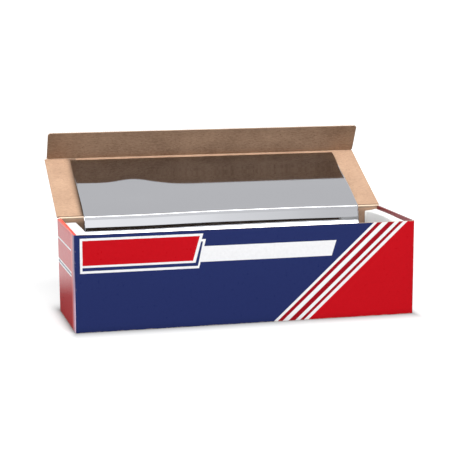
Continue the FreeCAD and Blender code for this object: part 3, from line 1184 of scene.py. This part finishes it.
class EndSupport:
    """White board folded into a channel between the roll and an end wall."""

    FOLD = 1.8 * MM
    BOARD = 0.8 * MM
    FLARE = 1.7 * MM
    FLARE_REACH = 3.4 * MM
    TOE = 1.8 * MM
    SAG = 1.9
    RIDGE = 1.8
    RIDGE_FRONT = 1.3

    def __init__(self, end: End, finishes: Finishes) -> None:
        """Keep the end that it stands at and the finishes."""
        self.end = end
        self.node = "end_support_" + end.name.lower()
        self.finishes = finishes

    def _section(self) -> list[tuple[float, float]]:
        """Outer line of the channel in X and Z, up one leg and down the other."""
        low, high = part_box(self.node)
        levels = np.linspace(low.z, high.z - self.FOLD, 14)
        left = [(low.x, z) for z in levels]
        corner = [(low.x + self.FOLD * (1 - math.cos(a)), high.z - self.FOLD * (1 - math.sin(a)))
                  for a in np.linspace(0, math.pi / 2, 6)[1:]]
        top = [(low.x + self.FOLD + (high.x - low.x - 2 * self.FOLD) * k / 4, high.z)
               for k in range(1, 4)]
        half = left + corner
        mirrored = [(low.x + high.x - x, z) for x, z in reversed(half)]
        return half + top + mirrored

    def build(self) -> bpy.types.Object:
        """Folded channel, a little uneven as a hand-folded piece is."""
        low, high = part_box(self.node)
        section = self._section()
        ys = np.append(np.linspace(low.y, high.y - 5 * MM, 19),
                       high.y - np.array([4, 3.2, 2.4, 1.6, 0.8, 0]) * MM)
        points = []
        for y in ys:
            back = (y - low.y) / (high.y - low.y)
            bend = 0.5 * MM * math.sin(y * 38 + self.end.value)
            flare = self.FLARE * max(0.0, (y - high.y) / self.FLARE_REACH + 1) ** 2
            lean = bend - flare if self.end is End.RIGHT else bend + self.TOE * (1 - back)
            ridge = self.RIDGE * math.sin(math.pi * back) + self.RIDGE_FRONT * (1 - back)
            wave = 0.25 * MM * (math.sin(y * 55 + 1.0) - 1)
            for x, z in section:
                share = (z - low.z) / (high.z - low.z)
                across = ((x - low.x) / (high.x - low.x) - 0.5) * self.end.value + 0.5
                sagged = (self.SAG * across ** 2 + ridge * (1 - across) ** 2) * MM
                raised = (sagged * (self.end is End.RIGHT) + wave) * max(0, share * 8 - 7)
                points.append((x + lean * share * (across < 0.5), y, z + raised))
        support = build_object(self.node + "_board", np.array(points),
                               grid_faces(len(ys), len(section)),
                               [self.finishes.white_board, self.finishes.white_board,
                                self.finishes.white_cut])
        make_board(support, self.BOARD)
        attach(support, "carton")
        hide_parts(self.node)
        return support


# Foil


class DrawnFilm:
    """The web from the top of the roll, up the back wall and over the lid, in one sheet."""

    PITCH = 1.25 * MM
    THICKNESS = 0.06 * MM
    FREE_END = 103.4 * MM
    WANDER = 0.7 * MM
    TOOTH = 0.45 * MM

    def __init__(self, carton: CartonSizes, lid: LidFrame, roll: RollSizes,
                 finishes: Finishes) -> None:
        """Keep what the film lies on and its finish."""
        self.carton = carton
        self.lid = lid
        self.roll = roll
        self.finishes = finishes

    def _slope(self, x: float) -> float:
        """Fall of the film toward its free end, half way up the lid."""
        mm = x / MM
        return (-0.05 + 0.03 * math.exp(-((mm + 151) / 50) ** 2)
                + 0.042 * math.exp(-((mm + 86) / 27) ** 2))

    @staticmethod
    def _bend_lift(share: float) -> float:
        """Height of the bend over the hinge, in millimetres: higher along the middle."""
        def rise(low: float, high: float) -> float:
            """Smooth step of the share between two places."""
            t = clamp((share - low) / (high - low))
            return t * t * (3 - 2 * t)
        return 0.25 + 1.35 * rise(0.15, 0.5) - 0.7 * rise(0.74, 1.0)

    def _on_lid(self, x: float, share: float) -> np.ndarray:
        """Points over the lid, in Y and Z, from the bend to the free end."""
        half = self._slope(x) * 20
        lifts = ((4, max(1.3, self._bend_lift(share) + 0.2)), (16, 2.2 - 0.2 * share),
                 (35, 1.45 - half), (55, 1.45), (75, 1.45 + half), (90, 1.1),
                 (self.FREE_END / MM, 0.9))
        return np.array([self.lid.place(0, u * MM, n * MM).yz for u, n in lifts])

    def _riser(self, share: float) -> list[tuple[float, float, float, int]]:
        """Spans of the web from the foot of the back wall's bend to the lid.

        Args:
            share: place across the web, 0 at the left and 1 at the right.

        Returns:
            Length in millimetres, first and last slope in degrees, and steps of each span.
        """
        flat = 7.5 + 0.9 * share
        strip = 3.4 + 1.0 * share + 0.8 * math.sin(math.pi * share)
        dark = 4.1 - 1.5 * max(0.0, share - 0.45) / 0.55
        wave = 0.4 * math.sin(7.0 * share)
        return [(4.2, -12, 48, 8), (strip, 48, 69, 6), (0.5, 69, 81.6, 3), (dark, 81.6, 83.0, 4),
                (0.4, 83.0, 79.3, 2), (flat * 0.6, 79.3, 77.8 + wave, 6),
                (flat * 0.4, 77.8 + wave, 78.4, 4), (0.3, 78.4, 75.8, 2), (0.5, 75.8, 76.2, 2),
                (2.3, 76.2, 76.5, 4), (0.2, 76.5, 75.4, 1), (0.85, 75.4, 27, 8)]

    def _line(self, x: float) -> np.ndarray:
        """Whole line of the web at one place across it, in Y and Z."""
        roll = self.roll
        share = (x - roll.centre.x) / roll.half_web / 2 + 0.5
        lid_part = self._on_lid(x, share)
        steps, turns = [], []
        for length, first, last, count in self._riser(share):
            for k in range(count):
                turns.append(math.radians(first + (last - first) * (k + 0.5) / count))
                steps.append(length * MM / count)
        moves = np.array([(step * math.cos(turn), step * math.sin(turn))
                          for step, turn in zip(steps, turns)])
        top = np.array(self.lid.place(0, -0.5 * MM, (self._bend_lift(share) + 0.2) * MM).yz)
        riser = top - np.cumsum(moves[::-1], axis=0)[::-1]
        reach = riser[0] - np.array(roll.centre.yz)
        leave = math.atan2(reach[1], reach[0]) + math.acos(roll.radius / np.linalg.norm(reach))
        wrap = np.array([(roll.centre.y + (roll.radius + 0.05 * MM) * math.cos(leave + a),
                          roll.centre.z + (roll.radius + 0.05 * MM) * math.sin(leave + a))
                         for a in (0.24, 0.16, 0.08, 0.0)])
        ramp = np.array([wrap[-1] + (riser[0] - wrap[-1]) * k for k in (0.25, 0.5, 0.75)])
        over = smooth_line(np.vstack([riser[-1:], top[None], lid_part]), 6)
        return np.vstack([wrap, ramp, riser[:-1], over])

    def build(self) -> bpy.types.Object:
        """Film with a toothed free end, thin but closed."""
        roll = self.roll
        columns = int(round(2 * roll.half_web / self.PITCH)) // 2 * 2 + 1
        xs = np.linspace(-roll.half_web, roll.half_web, columns) + roll.centre.x - self.WANDER
        lines = [self._line(x) for x in xs]
        rows = len(lines[0])
        points = np.zeros((rows, columns, 3))
        flat = np.zeros((rows, columns, 2))
        for column, (x, line) in enumerate(zip(xs, lines)):
            if column % 2:
                line[-1] -= np.array(self.lid.along.yz) * self.TOOTH
            points[:, column, 0] = x
            points[:, column, 1:] = line
            flat[:, column, 0], flat[:, column, 1] = x, run_along(line)
        film = build_object("drawn_film", points.reshape(-1, 3), grid_faces(rows, columns),
                            [self.finishes.foil], ("web", flat.reshape(-1, 2)))
        thicken(film, self.THICKNESS)
        tuple(self.lid.place(0, 2.5 * MM, 2.5 * MM))
        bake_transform(film)
        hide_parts("foil_sheet")
        return film


def wound_turns_tree() -> bpy.types.NodeTree:
    """Geometry tree that lathes the turns: bore, ridged ends and outer face in one closed skin."""
    n, given, out = open_group(
        "wound_turns",
        [("Centre", "Vector"), ("Bore Radius", "Float"), ("Outer Radius", "Float"),
         ("Half Width", "Float"), ("Ridge", "Float"), ("Rings", "Int"), ("Segments", "Int"),
         ("Seed", "Float"), ("Edge Finish", "Material"), ("Face Finish", "Material")],
        [("Geometry", "Geometry")], "GeometryNodeTree")
    parts = [_lathed_end(n, given, sign) for sign in (-1.0, 1.0)]
    parts += [_lathed_wall(n, given, "Outer Radius", True),
              _lathed_wall(n, given, "Bore Radius", False)]
    joined = n.node("GeometryNodeJoinGeometry")
    for part in parts:
        n.tree.links.new(part, joined.inputs[0])
    merged = n.node("GeometryNodeMergeByDistance", {"Geometry": joined.outputs[0],
                                                    "Distance": 0.02 * MM})
    real = n.node("GeometryNodeRealizeInstances", {"Geometry": merged.outputs[0]})
    n.put(out["Geometry"], real.outputs[0])
    return n.tree


def _polar(n: NodeTree, given: Sockets, x: Value, radius: Value, turn: Value) -> Socket:
    """Position at X, a radius and a share of a turn, about the roll's axis."""
    angle = n.math("MULTIPLY", turn, math.tau)
    local = n.vector(x, n.math("MULTIPLY", radius, n.math("COSINE", angle)),
                     n.math("MULTIPLY", radius, n.math("SINE", angle)))
    moved = n.node("ShaderNodeVectorMath", {0: local, 1: given["Centre"]}, operation="ADD")
    return moved.outputs[0]


def _unit_grid(n: NodeTree, across: Value, round_: Value) -> tuple[Socket, Socket, Socket]:
    """Grid mesh with its two shares, 0 to 1, across and round."""
    grid = n.node("GeometryNodeMeshGrid", {"Size X": 1.0, "Size Y": 1.0, "Vertices X": across,
                                           "Vertices Y": round_})
    x, y, _ = n.split(n.node("GeometryNodeInputPosition").outputs[0])
    return grid.outputs["Mesh"], n.math("ADD", x, 0.5), n.math("ADD", y, 0.5)


def _dressed(n: NodeTree, mesh: Socket, finish: Socket) -> Socket:
    """Mesh with its finish on."""
    return n.node("GeometryNodeSetMaterial", {"Geometry": mesh, "Material": finish}).outputs[0]


def _placed(n: NodeTree, mesh: Socket, spot: Socket, finish: Socket) -> Socket:
    """Mesh with its vertices moved to their spots and its finish on."""
    placed = n.node("GeometryNodeSetPosition", {"Geometry": mesh, "Position": spot})
    return _dressed(n, placed.outputs[0], finish)


def _lathed_end(n: NodeTree, given: Sockets, sign: float) -> Socket:
    """One ridged end face of the turns."""
    mesh, share, turn = _unit_grid(n, given["Rings"], given["Segments"])
    if sign < 0:
        turn = n.math("SUBTRACT", 1.0, turn)
    span = n.math("SUBTRACT", given["Outer Radius"], given["Bore Radius"])
    radius = n.math("MULTIPLY_ADD", share, span, given["Bore Radius"])
    seed = n.math("ADD", given["Seed"], sign * 7.3)
    ridges = n.noise(n.vector(radius, seed, 0.0), 420.0, 3.0, 0.75)
    inside = n.math("MULTIPLY", n.remap(share, 0.0, 0.03), n.remap(share, 1.0, 0.97))
    depth = n.math("MULTIPLY", n.math("MULTIPLY", ridges, given["Ridge"]), inside)
    x = n.math("MULTIPLY", n.math("SUBTRACT", given["Half Width"], depth), sign)
    return _placed(n, mesh, _polar(n, given, x, radius, turn), given["Edge Finish"])


def _lathed_wall(n: NodeTree, given: Sockets, radius: str, outward: bool) -> Socket:
    """Round wall of the turns at one radius."""
    mesh, share, turn = _unit_grid(n, 3, given["Segments"])
    if outward:
        turn = n.math("SUBTRACT", 1.0, turn)
    span = n.math("MULTIPLY", given["Half Width"], 2.0)
    x = n.math("SUBTRACT", n.math("MULTIPLY", share, span), given["Half Width"])
    spot = _polar(n, given, x, given[radius], turn)
    return _placed(n, mesh, spot, given["Face Finish"])


def bake_tree(name: str, tree: bpy.types.NodeTree, values: dict[str, object]) -> bpy.types.Object:
    """Run a geometry tree once and keep its result as a plain mesh.

    Args:
        name: name of the piece.
        tree: geometry tree with named inputs.
        values: value of each named input.

    Returns:
        The linked object, with no modifier.
    """
    seed = link_object(name + "_seed", bpy.data.meshes.new(name + "_seed"))
    modifier = seed.modifiers.new("build", "NODES")
    modifier.node_group = tree
    for item in tree.interface.items_tree:
        if item.in_out == "INPUT" and item.name in values:
            modifier[item.identifier] = values[item.name]
    evaluated = seed.evaluated_get(bpy.context.evaluated_depsgraph_get())
    mesh = bpy.data.meshes.new_from_object(evaluated)
    mesh.name = name
    bpy.data.objects.remove(seed)
    return link_object(name, mesh)


class Roll:
    """Wound turns and the core that they are wound on."""

    def __init__(self, roll: RollSizes, finishes: Finishes) -> None:
        """Keep the sizes and the finishes."""
        self.roll = roll
        self.finishes = finishes

    def build_turns(self) -> bpy.types.Object:
        """Turns with fine ridges on both ends."""
        roll = self.roll
        turns = bake_tree("wound_turns", wound_turns_tree(), {
            "Centre": tuple(roll.centre), "Bore Radius": roll.core_radius + roll.fit,
            "Outer Radius": roll.radius - 0.02 * MM, "Half Width": roll.half_web, "Ridge": 1.1 * MM,
            "Rings": 150, "Segments": 161, "Seed": 3.0, "Edge Finish": self.finishes.wound_edges,
            "Face Finish": self.finishes.foil})
        self._add_web_map(turns)
        turns.data.shade_smooth()
        split_edges(turns, 60)
        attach(turns, "carton")
        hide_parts("foil_roll")
        return turns

    def _add_web_map(self, turns: bpy.types.Object) -> None:
        """UV map of the outer turn: across the roll and round it."""
        mesh, roll = turns.data, self.roll
        layer = mesh.uv_layers.new(name="web")
        for loop in mesh.loops:
            spot = mesh.vertices[loop.vertex_index].co - roll.centre
            layer.data[loop.index].uv = (spot.x, abs(math.atan2(spot.y, spot.z)) * roll.radius)

    def build_core(self) -> bpy.types.Object:
        """Core tube with softened rims."""
        roll = self.roll
        outer, inner = roll.core_radius, roll.core_radius - roll.core_wall
        half, soft, segments = roll.half_web + roll.core_overhang, 0.35 * MM, 96
        section = [(-half + soft, outer), (half - soft, outer), (half, outer - soft),
                   (half, inner + soft), (half - soft, inner), (-half + soft, inner),
                   (-half, inner + soft), (-half, outer - soft)]
        points = [(roll.centre.x + x, roll.centre.y + r * math.cos(math.tau * k / segments),
                   roll.centre.z + r * math.sin(math.tau * k / segments))
                  for x, r in section + section[:1] for k in range(segments)]
        count = len(section) * segments
        faces = [tuple(index % count for index in face)
                 for face in grid_faces(len(section) + 1, segments, closed=True)]
        core = build_object("core_tube_paper", np.array(points[:count]),
                            [tuple(reversed(face)) for face in faces], [self.finishes.core])
        split_edges(core, 40)
        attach(core, "carton")
        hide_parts("core_tube")
        return core


# Cutter


def clinch_row_tree() -> bpy.types.NodeTree:
    """Geometry tree that sets a row of pressed clinch rings along a line."""
    n, given, out = open_group(
        "clinch_row",
        [("Start", "Vector"), ("End", "Vector"), ("Count", "Int"), ("Radius", "Float"),
         ("Height", "Float"), ("Turn", "Vector"), ("Finish", "Material")],
        [("Geometry", "Geometry")], "GeometryNodeTree")
    line = n.node("GeometryNodeMeshLine", {"Count": given["Count"], "Offset": given["End"],
                                           "Start Location": given["Start"]}, mode="END_POINTS")
    ring, bead = (n.node("GeometryNodeCurvePrimitiveCircle", {"Resolution": steps,
                                                              "Radius": given[radius]})
                  for steps, radius in ((20, "Radius"), (8, "Height")))
    swept = n.node("GeometryNodeCurveToMesh", {"Curve": ring.outputs[0],
                                               "Profile Curve": bead.outputs[0]})
    placed = n.node("GeometryNodeInstanceOnPoints", {"Points": line.outputs[0],
                                                     "Instance": swept.outputs[0],
                                                     "Rotation": given["Turn"]})
    real = n.node("GeometryNodeRealizeInstances", {"Geometry": placed.outputs[0]})
    n.put(out["Geometry"], _dressed(n, real.outputs[0], given["Finish"]))
    return n.tree


class Cutter:
    """Toothed steel strip and the clinches that hold it to the flap."""

    CLINCHES = 11
    STAND_OFF = 0.25 * MM
    END_MARGIN = 16 * MM
    EDGE_MARGIN = 5.4 * MM
    RING_RADIUS = 1.2 * MM
    RING_HEIGHT = 0.22 * MM

    def __init__(self, carton: CartonSizes, lid: LidFrame, finishes: Finishes) -> None:
        """Keep the sizes, the lid's directions and the finishes."""
        self.carton = carton
        self.lid = lid
        self.finishes = finishes

    def dress_strip(self) -> None:
        """Give the strip's own solid its steel."""
        mesh = frame["nodes"]["cutter_strip"].data
        mesh.materials.clear()
        mesh.materials.append(self.finishes.cutter)

    def build_clinches(self) -> bpy.types.Object:
        """Row of small pressed rings along the strip."""
        c = self.carton
        reach = c.half_width - self.END_MARGIN
        face = c.lid_length + c.board + self.STAND_OFF
        level = c.flap_height - self.EDGE_MARGIN
        start, end = (self.lid.place(x, face, level) for x in (-reach, reach))
        turn = Vector((0, 0, 1)).rotation_difference(self.lid.along).to_euler()
        clinches = bake_tree("cutter_clinches", clinch_row_tree(), {
            "Start": tuple(start), "End": tuple(end), "Count": self.CLINCHES,
            "Radius": self.RING_RADIUS, "Height": self.RING_HEIGHT, "Turn": tuple(turn),
            "Finish": self.finishes.cutter})
        clinches.data.shade_smooth()
        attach(clinches, "flap")
        return clinches


# Setting


@dataclass(frozen=True)
class Photographer:
    """Camera of the photograph, worked out from the carton's corners."""

    place: Vector = Vector((-386.17 * MM, -1467.55 * MM, 347.31 * MM))
    right: Vector = Vector((0.96762, -0.25241, 0.0))
    down: Vector = Vector((-0.04305, -0.16503, -0.98535))
    forward: Vector = Vector((0.24871, 0.95344, -0.17055))
    focal_pixels: float = 1470.8
    frame_pixels: float = 466.0
    sensor: float = 36.0

    def build(self) -> bpy.types.Object:
        """Camera with no shift and no depth of field."""
        data = bpy.data.cameras.new("camera")
        data.sensor_width = self.sensor
        data.lens = self.focal_pixels / self.frame_pixels * self.sensor
        data.clip_start, data.clip_end = 0.01, 50.0
        camera = link_object("camera", data)
        turn = Matrix((self.right, -self.down, -self.forward)).transposed().to_4x4()
        camera.matrix_world = Matrix.Translation(self.place) @ turn
        bpy.context.scene.camera = camera
        return camera


@dataclass(frozen=True)
class Lamp:
    """Large soft square lamp that looks at the object, by degrees, metres and watts.

    Its azimuth counts to the right of straight in front, its elevation from the floor.
    """

    name: str
    azimuth: float
    elevation: float
    distance: float
    size: float
    power: float
    aim: float = 80 * MM

    def build(self) -> bpy.types.Object:
        """The lamp, turned to a point above the floor's middle."""
        data = bpy.data.lights.new(self.name, "AREA")
        data.shape, data.size, data.energy = "SQUARE", self.size, self.power
        lamp = link_object(self.name, data)
        side, up = math.radians(self.azimuth), math.radians(self.elevation)
        away = Vector((math.sin(side) * math.cos(up), -math.cos(side) * math.cos(up),
                       math.sin(up)))
        lamp.matrix_world = (Matrix.Translation(Vector((0, 0, self.aim)) + away * self.distance)
                             @ (-away).to_track_quat("-Z", "Y").to_matrix().to_4x4())
        return lamp


@dataclass(frozen=True)
class Studio:
    """Pale floor, soft lamps and a plain bright room."""

    floor_half: float = 6.0
    floor_bounce: float = 0.16
    floor_glow: float = 0.77
    contact_shadow_reach: float = 62 * MM
    contact_shadow_depth: float = 0.95
    room_fill: float = 0.27
    back_fill: float = 0.9
    end_shortening: float = 3.3
    lamps: tuple[Lamp, ...] = (Lamp("key_lamp", 12.0, 55.0, 2.2, 1.6, 72.0),
                               Lamp("side_lamp", -80.0, 20.0, 2.0, 1.0, 18.0))

    def _painted_contact_shadow(self, n: NodeTree, x: Socket, y: Socket, carton: CartonSizes) -> Socket:
        """Painted contact shadow round the carton's foot, 1 at its edge, shorter at its ends."""
        gaps = [n.math("MAXIMUM", n.math("SUBTRACT", n.math("ABSOLUTE", place), half), 0.0)
                for place, half in ((x, carton.half_width), (y, carton.half_depth))]
        gaps[0] = n.math("MULTIPLY", gaps[0], self.end_shortening)
        return n.math("POWER", n.remap(n.length(*gaps), self.contact_shadow_reach, 0.0), 3.0)

    @staticmethod
    def _mirror_ray(n: NodeTree, rays: Sockets) -> Socket:
        """Mask of rays that come straight from a mirroring or clear face."""
        shiny = n.math("MAXIMUM", rays["Is Glossy Ray"], rays["Is Transmission Ray"])
        return n.math("MULTIPLY", shiny, n.math("LESS_THAN", rays["Diffuse Depth"], 0.5))

    @staticmethod
    def _glow(n: NodeTree, strength: Socket) -> Socket:
        """White light of its own."""
        return n.node("ShaderNodeEmission", {"Color": (1.0, 1.0, 1.0, 1.0),
                                             "Strength": strength}).outputs[0]

    def build_floor(self, carton: CartonSizes) -> bpy.types.Object:
        """White floor that keeps the object's shadow, has a painted contact shadow round the
        carton's foot, and bounces little light.
        """
        half = self.floor_half
        verts = np.array([(-half, -half, 0), (half, -half, 0), (half, half, 0), (-half, half, 0)])
        finish = Finish("studio_floor")
        n = finish.n
        x, y, _ = n.split(finish.position)
        rays = n.node("ShaderNodeLightPath").outputs
        finish.set(Base_Color=(self.floor_bounce,) * 3, Roughness=1.0, Specular_IOR_Level=0.0)
        pale = n.node("ShaderNodeBsdfDiffuse", {"Color": (0.30, 0.30, 0.303, 1.0)})
        # painted contact shadow: the floor's glow darkens near the carton's foot
        lit = n.math("MULTIPLY_ADD", self._painted_contact_shadow(n, x, y, carton), -self.contact_shadow_depth, 1.0)
        glow = n.remap(n.length(x, y), 0.3, 0.9, self.floor_glow, 1.0)
        shown = self._glow(n, n.math("MULTIPLY", lit, glow))
        both = n.node("ShaderNodeAddShader", {0: pale.outputs[0], 1: shown})
        mirrored = self._glow(n, n.math("MULTIPLY", self._mirror_ray(n, rays),
                                        n.remap(y, 0.13, 0.25, 0.02, 0.95)))
        bounced = n.node("ShaderNodeAddShader", {0: finish.shader.outputs[0], 1: mirrored})
        mixed = n.node("ShaderNodeMixShader", {0: rays["Is Camera Ray"], 1: bounced.outputs[0],
                                               2: both.outputs[0]})
        n.put(n.tree.nodes["Material Output"].inputs["Surface"], mixed.outputs[0])
        floor = build_object("studio_floor", verts, [(0, 1, 2, 3)], [finish.material])
        return floor

    def build_room(self) -> None:
        """World: white to the camera, a low front window in reflections, plain fill otherwise."""
        world = bpy.data.worlds.new("studio_room")
        bpy.context.scene.world = world
        world.use_nodes = True
        n = NodeTree(world.node_tree)
        x, y, z = n.split(n.node("ShaderNodeTexCoord").outputs["Generated"])
        low = n.math("MULTIPLY", n.remap(z, -0.05, 0.12), n.remap(z, 0.33, 0.28))
        front = n.math("MULTIPLY", n.remap(y, -0.45, -0.75), low)
        sideways = n.remap(x, 0.16, 0.37, 0.80, -0.02)
        shown = n.math("MULTIPLY_ADD", front, sideways, 1.0)
        rays = n.node("ShaderNodeLightPath").outputs
        turned = n.math("MULTIPLY_ADD", x, 0.64, n.math("MULTIPLY", y, 0.77))
        behind = n.math("MULTIPLY", n.remap(turned, 0.1, 0.7), n.remap(z, 0.55, 0.3))
        plain = n.math("MULTIPLY_ADD", behind, self.back_fill, self.room_fill)
        level = n.math("MULTIPLY_ADD", self._mirror_ray(n, rays),
                       n.math("SUBTRACT", shown, plain), plain)
        level = n.math("MAXIMUM", level, rays["Is Camera Ray"])
        background = world.node_tree.nodes["Background"]
        background.inputs["Color"].default_value = (1.0, 1.0, 1.0, 1.0)
        n.put(background.inputs["Strength"], level)

    def build(self, carton: CartonSizes) -> None:
        """Floor, room and lamps."""
        self.build_floor(carton)
        self.build_room()
        for lamp in self.lamps:
            lamp.build()


def main() -> None:
    """Build the setting and every piece, in order."""
    logging.basicConfig(level=logging.INFO, format="%(name)s: %(message)s")
    scene = bpy.context.scene
    scene.view_settings.view_transform = "Standard"
    Photographer().build()
    carton, lid, roll = read_carton(), read_lid(), read_roll()
    Studio().build(carton)
    finishes = Finishes(carton)
    pieces = [Tray(carton, finishes).build()]
    cover = Lid(carton, lid, finishes)
    pieces += [cover.build_panel(), cover.build_flap(), *cover.build_scores()]
    pieces += [EndSupport(end, finishes).build() for end in End]
    wound = Roll(roll, finishes)
    pieces += [wound.build_turns(), wound.build_core()]
    pieces.append(DrawnFilm(carton, lid, roll, finishes).build())
    cutter = Cutter(carton, lid, finishes)
    cutter.dress_strip()
    pieces.append(cutter.build_clinches())
    for piece in pieces:
        LOG.info("%s: %d faces", piece.name, len(piece.data.polygons))
    bpy.context.view_layer.update()


if __name__ == "__main__":
    main()
